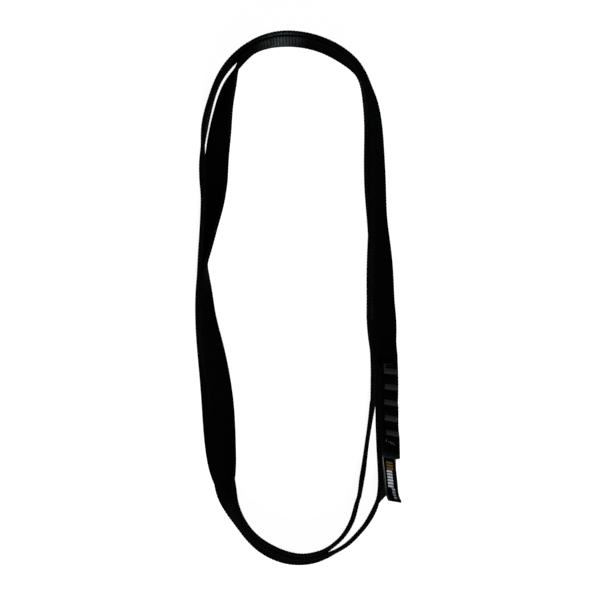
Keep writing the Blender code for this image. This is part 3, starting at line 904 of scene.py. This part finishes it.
# %% [markdown]
# Each tack has a needle thread on the outer face and a bobbin thread on the inner one, and each
# is a piece of its own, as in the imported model. Both are built lying flat and are then moved onto
# the strap by the matrix of its section there. For the inner face that matrix is turned half
# round, which keeps the faces pointing outwards, as a mirror would not.

# %% Placing a piece of stitching
STITCHING_SHIFT = 1.3 * MM
STITCHING_SEAT = 0.6 * RIB_RISE


def sewn_frame(place, side, dip):
    """The matrix from a flat piece of stitching to the lap's outer (1) or inner (-1) face."""
    section, spacing = strap.lap_section(place)
    face_height = (spacing + STRAP_THICKNESS) / 2 + STITCHING_SEAT - dip
    turn = Matrix.Identity(4) if side > 0 else Matrix.Rotation(math.pi, 4, "X")
    return (section.matrix() @ Matrix.Translation((0, -STITCHING_SHIFT, 0)) @ turn
            @ Matrix.Translation((0, 0, face_height)))


def sew(parts, name, node, matrix, finish):
    """Joins the stitches into a piece, puts it in its place, hides the model's node that it stands
    for and attaches it to the sling.
    """
    piece = join_parts(parts, name)
    map_flat(piece)
    piece.data.transform(matrix)
    piece.data.materials.clear()
    piece.data.materials.append(finish)
    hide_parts(node)
    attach(piece, "sling")
    return piece


print("the first tack is", round(TACK_START / MM, 1), "mm from the tail")

# %% [markdown]
# The tacks are sewn in bonded polyester thread: dark grey, smoother than the tape, with a silky
# shine across the threads. Its plies are twisted, which shows as fine slanted lines: these are
# painted lighter and darker, as light and shade on the plies, over a random mottle. The label's
# seam is the same thread in pale grey. One function makes both, from two colours.

# %% Material of the threads
PLY_TWIST = 0.55 * MM
PLY_SLANT = math.radians(35)
THREAD_MOTTLE_SIZE = 0.7 * MM
WAVE_PERIOD = 2 * math.pi / 20  # one band of a Wave texture at a scale of 1


def bonded_thread(name, shade, light, sheen_weight, sheen_tint):
    """Thread of twisted plies, with painted light and shade along the twist between two colours,
    and a silky sheen.
    """
    material, tree, shader = new_material(name)
    place = add_node(tree, "UVMap", uv_map="thread")
    slant = add_node(tree, "Mapping", {"Vector": place, "Rotation": (0, 0, PLY_SLANT)})
    twist = add_node(tree, "TexWave", {"Vector": slant, "Scale": WAVE_PERIOD / PLY_TWIST,
                                       "Distortion": 1.5, "Detail": 1.0, "Detail Scale": 4.0},
                     bands_direction="X").outputs["Fac"]
    mottle = add_node(tree, "TexNoise", {"Vector": place, "Scale": 1 / THREAD_MOTTLE_SIZE,
                                         "Detail": 2.0})
    # the twist lines as painted light and shade, over a random mottle
    twist_shade_and_mottle = add_node(tree, "Math", {0: twist, 1: 0.5, 2: mottle}, operation="MULTIPLY_ADD")
    level = add_node(tree, "MapRange", {"Value": twist_shade_and_mottle, "From Min": 0.3, "From Max": 1.1})
    tone = add_node(tree, "Mix", {0: level, 6: linear(shade), 7: linear(light)},
                    data_type="RGBA")
    gloss = add_node(tree, "MapRange", {"Value": twist_shade_and_mottle, "To Min": 0.42, "To Max": 0.6})
    bump = add_node(tree, "Bump", {"Height": twist, "Strength": 0.4, "Distance": 0.05 * MM})
    feed(shader, {"Base Color": tone.outputs[2], "Roughness": gloss, "Normal": bump,
                  "Specular IOR Level": 0.05, "Sheen Weight": sheen_weight,
                  "Sheen Roughness": 0.4, "Sheen Tint": linear(sheen_tint)})
    return material


grey_thread = bonded_thread("grey_bonded_polyester_thread", "0b0c0d", "17191b", 0.01, "c8ccd0")
pale_thread = bonded_thread("pale_bonded_polyester_thread", "3a3c3c", "5c5e5e", 0.02, "ffffff")
print("thread finishes:", grey_thread.name, pale_thread.name)

# %% [markdown]
# The fifth tack, nearest the loop, is where the machine locked its thread: beside its upper end a
# short column of stitches runs along the strap, and two single threads cross the strap above it.

# %% The lock stitches of the fifth tack
LOCK_THREAD = 0.3 * MM
LOCK_STITCH_LENGTH = 2.7 * MM
LOCK_STITCH_BEND = math.radians(60)
# along and across the strap in mm from the tack's middle, as a start and a step
COLUMN_ALONG, COLUMN_ACROSS = (-0.6, 2.1), (5.1, 0.36)
COLUMN_TURN, COLUMN_DEPTH, COLUMN_SIZE = 3, 0.08 * MM, 0.62
CROSSING_STARTS, CROSSING_DRIFT, CROSSING_ACROSS = (3.1, 4.5), 0.08, (3.4, -2.35)
CROSSING_TURN, CROSSING_DEPTH = 88, -0.12 * MM
lock_stitch = model_stitch("lock_stitch", LOCK_STITCH_LENGTH, LOCK_THREAD, LOCK_STITCH_BEND)


def lock_stitches():
    """Three short rows along the strap, and two threads that cross it."""
    parts = []
    for row in range(3):
        for step in range(3):
            parts.append(place_stitch(
                tack_stitch, (COLUMN_ALONG[0] + COLUMN_ALONG[1] * step) * MM,
                (COLUMN_ACROSS[0] + COLUMN_ACROSS[1] * row) * MM,
                COLUMN_TURN * (-1) ** (row + step), COLUMN_DEPTH, COLUMN_SIZE))
    for along in CROSSING_STARTS:
        for step in range(4):
            parts.append(place_stitch(
                lock_stitch, (along + CROSSING_DRIFT * step) * MM,
                (CROSSING_ACROSS[0] + CROSSING_ACROSS[1] * step) * MM,
                CROSSING_TURN, CROSSING_DEPTH))
    return parts


for number, place in enumerate(tack_places, start=1):
    for side, thread in ((1, "needle"), (-1, "bobbin")):
        pad = lay_stitch(pad_model, Matrix.Identity(4))
        parts = [pad] + satin_row()
        if number == TACK_COUNT and side > 0:
            parts += lock_stitches()
        piece = sew(parts, f"tack_{number}_{thread}_stitches",
                    f"bar_tack_{number}_{thread}_thread",
                    sewn_frame(place, side, TACK_DIP), grey_thread)
    print(f"tack {number}: {len(piece.data.polygons)} faces a side")

# %% [markdown]
# The label is held by a short seam of its own, between the tail and the first tack, in pale
# thread that the black tape mostly swallows. On the outer face one long stitch, a dot and a
# ragged zigzag stay in sight. On the inner face the seam is a plain row.

# %% The label's seam
SEAM_PLACE = 9.9 * MM
SEAM_THREAD = 0.25 * MM
SEAM_STITCH_LENGTH = 2.2 * MM
SEAM_STITCH_BEND = math.radians(80)
SEAM_RISE = 0.2 * MM
seam_stitch = model_stitch("seam_stitch", SEAM_STITCH_LENGTH, SEAM_THREAD, SEAM_STITCH_BEND)

# along and across the strap in mm from the seam's middle, turn in degrees, and size
OUTER_SEAM = ((1.3, 6.3, 4, 1.0), (0.45, 3.9, 20, 0.4), (0.25, 2.1, 42, 0.8),
              (-0.15, 1.1, -38, 0.8), (-0.35, -0.2, 45, 0.85), (-0.95, -1.4, -35, 0.8))
INNER_SEAM = ((0.0, 3.6, 78, 1.0), (0.1, 1.8, 84, 1.0), (0.0, 0.0, 80, 1.0),
              (-0.1, -1.8, 83, 1.0), (0.0, -3.6, 79, 1.0))

for side, thread, stitches in ((1, "needle", OUTER_SEAM), (-1, "bobbin", INNER_SEAM)):
    parts = [place_stitch(seam_stitch, along * MM, across * MM, turn, -SEAM_RISE, size)
             for along, across, turn, size in stitches]
    piece = sew(parts, f"seam_{thread}_stitches", f"label_seam_{thread}_thread",
                sewn_frame(SEAM_PLACE, side, 0.0), pale_thread)
    print("seam,", thread, "side:", len(stitches), "stitches")

for model in (tack_stitch, lock_stitch, seam_stitch, pad_model):
    bpy.data.objects.remove(model, do_unlink=True)

# %% [markdown]
# The label is one woven ribbon, folded in half. Its two ends lie between the layers of the lap,
# sewn down with them, and the fold hangs free below the tail. Its line is followed in small steps:
# along the lap first, then turning a little outwards at the tail, and curling up towards the
# fold. Both plies are built as one thin sheet round that line, and Solidify gives it thickness.

# %% The line of the label
LABEL_WIDTH = 11.4 * MM
LABEL_THICKNESS = 0.4 * MM
LABEL_PIVOT_REACH = 1.5 * MM
LABEL_FLAP_LENGTH = 28.2 * MM
LABEL_REST_ANGLE = math.radians(11)
LABEL_TURN_START = 0.3 * MM
LABEL_TURN_LENGTH = 2.4 * MM
LABEL_CURL = math.radians(24)
LABEL_CURL_LENGTH = 9 * MM
LABEL_STEP = 0.6 * MM


def label_line():
    """Sections from the label's sewn end to its fold, with the distance from the sewn end."""
    line = []
    for place in np.arange(LABEL_ROOT_DEPTH, 0.0, -LABEL_STEP):
        line.append((strap.lap_section(float(place))[0], LABEL_ROOT_DEPTH - float(place)))
    tail = strap.lap_section(0.0)[0]
    centre = tail.centre.copy()
    free = LABEL_PIVOT_REACH + LABEL_FLAP_LENGTH
    count = round(free / LABEL_STEP)
    for index in range(count + 1):
        out = index * free / count
        angle = LABEL_REST_ANGLE * smooth_step((out - LABEL_TURN_START) / LABEL_TURN_LENGTH)
        angle += LABEL_CURL * smooth_step((out - free + LABEL_CURL_LENGTH) / LABEL_CURL_LENGTH)
        along = tail.along * math.cos(angle) - tail.face * math.sin(angle)
        face = tail.face * math.cos(angle) + tail.along * math.sin(angle)
        if index:
            centre = centre - along * (free / count)
        line.append((Section(centre.copy(), along, tail.across, face), LABEL_ROOT_DEPTH + out))
    return line


label_sections = label_line()
label_reach = label_sections[-1][1]
print(f"the label is {label_reach / MM:.1f} mm from sewn end to fold,",
      len(label_sections), "steps")

# %% The sheet of the label
LABEL_COLUMNS = 12
FOLD_ROOM = 0.3 * MM
PRESSED_GAP = 0.22 * MM
FREE_GAP = 0.2 * MM
FREE_LENGTH = 6 * MM
RIPPLE_HEIGHT = 0.12 * MM
RIPPLE_LENGTH = 5.5 * MM


def ply_gap(distance):
    """Half the distance between the middles of the two plies: pressed flat in the lap."""
    free = smooth_step((distance - LABEL_ROOT_DEPTH) / FREE_LENGTH)
    return PRESSED_GAP + free * (FREE_GAP + RIPPLE_HEIGHT * math.sin(distance / RIPPLE_LENGTH) ** 2)


def label_rows():
    """Rows of the sheet: out along the outer ply, round the fold, back along the inner one."""
    fold = ply_gap(label_reach)
    flat = [(section, distance) for section, distance in label_sections
            if distance < label_reach - FOLD_ROOM]
    rows = [(section, 0.0, ply_gap(distance), distance) for section, distance in flat]
    section = label_sections[-1][0]
    for turn in range(-90, 91, 30):
        angle = math.radians(turn)
        rows.append((section, -fold * math.cos(angle) + fold, -fold * math.sin(angle),
                     label_reach + fold * angle))
    return rows + [(section, 0.0, -ply_gap(distance), 2 * label_reach - distance)
                   for section, distance in reversed(flat)]


def build_label():
    """The rows joined into one sheet, with its UV map."""
    bm = bmesh.new()
    uv = bm.loops.layers.uv.new("label")
    grid = []
    for section, along, out, distance in label_rows():
        row = []
        for column in range(LABEL_COLUMNS + 1):
            across = (column / LABEL_COLUMNS - 0.5) * LABEL_WIDTH
            row.append((bm.verts.new(section.point(along, across, out)), (across, distance)))
        grid.append(row)
    for near, far in zip(grid, grid[1:]):
        for index in range(LABEL_COLUMNS):
            corners = (near[index], near[index + 1], far[index + 1], far[index])
            face = bm.faces.new([vert for vert, place in corners])
            for loop, (vert, place) in zip(face.loops, corners):
                loop[uv].uv = place
    return mesh_object(bm, "label")


label = build_label()
bpy.ops.object.select_all(action="DESELECT")
label.select_set(True)
bpy.context.view_layer.objects.active = label
thick = label.modifiers.new("thickness", "SOLIDIFY")
thick.thickness = LABEL_THICKNESS
thick.offset = 0.0
bpy.ops.object.modifier_apply(modifier="thickness")
bpy.ops.object.shade_smooth_by_angle(angle=math.radians(50))
print("label:", len(label.data.polygons), "faces")

# %% [markdown]
# The ribbon is a black polyester satin, woven with a pale cut edge that is palest near the tail
# and fades towards the fold. Plain bars are woven into it: amber ones below the tail, then
# off-white ones, wide at first and narrower towards the fold. A group of bars is a rectangle on
# the label's own UV map, which is in metres, times one for the beat of the bars. A Compare node
# gives 1 where a place lies within so much of a middle, so two of them make a rectangle.

# %% Bars woven into the label
BARS_START = LABEL_ROOT_DEPTH + 2 * MM
BAR_PITCH = 2.0 * MM
BAR_HALF_SHARE = 0.34
RIM_HALF_BREADTH = 0.15 * MM
RIM_FADE_LENGTH = 22 * MM

# middle and half length along the label from the first bar, then middle and half breadth, in mm
AMBER_BARS = (3.2, 2.8, 0.1, 3.0)
WIDE_BARS = (12.2, 6.1, 1.0, 2.5)
SHORT_BARS = (22.3, 4.1, -1.3, 1.4)

ribbon, tree, shader = new_material("black_polyester_label_satin")
place = add_node(tree, "UVMap", uv_map="label")
axes = add_node(tree, "SeparateXYZ", {0: place})
across, along = axes.outputs["X"], axes.outputs["Y"]


def rectangle(along_middle, half_length, across_middle, half_breadth):
    """1 inside a rectangle of the label and 0 elsewhere."""
    inside_length = add_node(tree, "Math", {0: along, 1: BARS_START + along_middle * MM,
                                            2: half_length * MM}, operation="COMPARE")
    inside_breadth = add_node(tree, "Math", {0: across, 1: across_middle * MM,
                                             2: half_breadth * MM}, operation="COMPARE")
    return add_node(tree, "Math", {0: inside_length, 1: inside_breadth}, operation="MULTIPLY")


beat = add_node(tree, "Math", {0: along, 1: 1 / BAR_PITCH}, operation="MULTIPLY")
beat = add_node(tree, "Math", {0: beat}, operation="FRACT")
bars = add_node(tree, "Math", {0: beat, 1: 0.5, 2: BAR_HALF_SHARE}, operation="COMPARE")
amber = add_node(tree, "Math", {0: rectangle(*AMBER_BARS), 1: bars}, operation="MULTIPLY")
white = add_node(tree, "Math", {0: rectangle(*WIDE_BARS), 1: rectangle(*SHORT_BARS)},
                 operation="MAXIMUM")
white = add_node(tree, "Math", {0: white, 1: bars}, operation="MULTIPLY")
rim = add_node(tree, "Math", {0: across}, operation="ABSOLUTE")
rim = add_node(tree, "Math", {0: rim, 1: LABEL_WIDTH / 2, 2: RIM_HALF_BREADTH},
               operation="COMPARE")
# the pale rim fades along the label, from the tail towards the fold
rim_fade = add_node(tree, "MapRange", {"Value": along, "From Min": BARS_START, "To Min": 1.0,
                                    "From Max": BARS_START + RIM_FADE_LENGTH, "To Max": 0.1})
rim = add_node(tree, "Math", {0: rim, 1: rim_fade}, operation="MULTIPLY")
print("bars on the label every", BAR_PITCH / MM, "mm")

# %% Colours and finish of the label
LABEL_YARN_SIZE = 0.2 * MM
PICK_PITCH = 0.42 * MM

stretch = add_node(tree, "Mapping", {"Vector": place, "Scale": (1.0, 0.3, 1.0)})
threads = add_node(tree, "TexNoise", {"Vector": stretch, "Scale": 1 / LABEL_YARN_SIZE,
                                      "Detail": 2.0})
faded = add_node(tree, "MapRange", {"Value": threads, "From Min": 0.2, "From Max": 0.6,
                                    "To Min": 0.65})
tone = add_node(tree, "Mix", {0: threads, 6: linear("010204"), 7: linear("030508")},
                data_type="RGBA")
for mask, hex_colour in ((amber, "7c5f32"), (white, "dde1ea"), (rim, "94989a")):
    share = add_node(tree, "Math", {0: mask, 1: faded}, operation="MULTIPLY")
    tone = add_node(tree, "Mix", {0: share, 6: tone.outputs[2], 7: linear(hex_colour)},
                    data_type="RGBA")
picks = add_node(tree, "Math", {0: along, 1: 2 * math.pi / PICK_PITCH}, operation="MULTIPLY")
picks = add_node(tree, "Math", {0: picks}, operation="SINE")
height = add_node(tree, "Math", {0: picks, 1: 0.3, 2: threads}, operation="MULTIPLY_ADD")
height = add_node(tree, "Math", {0: white, 1: 0.6, 2: height}, operation="MULTIPLY_ADD")
bump = add_node(tree, "Bump", {"Height": height, "Strength": 0.5, "Distance": 0.06 * MM})
satin = add_node(tree, "MapRange", {"Value": threads, "To Min": 0.4, "To Max": 0.6})
feed(shader, {"Base Color": tone.outputs[2], "Roughness": satin, "Normal": bump,
              "Specular IOR Level": 0.0, "Sheen Weight": 0.01, "Sheen Roughness": 0.4,
              "Sheen Tint": linear("c4ccd6")})
label.data.materials.append(ribbon)
print("threads across the label's length every", PICK_PITCH / MM, "mm")

# %% [markdown]
# The label's fold can be lifted, but its sewn end can't. Here the label's transform is applied to
# its mesh, and the model's two label pieces are hidden.

# %% The label in place of the model's
tail = strap.lap_section(0.0)[0]
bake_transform(label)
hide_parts("label_root", "label_flap")
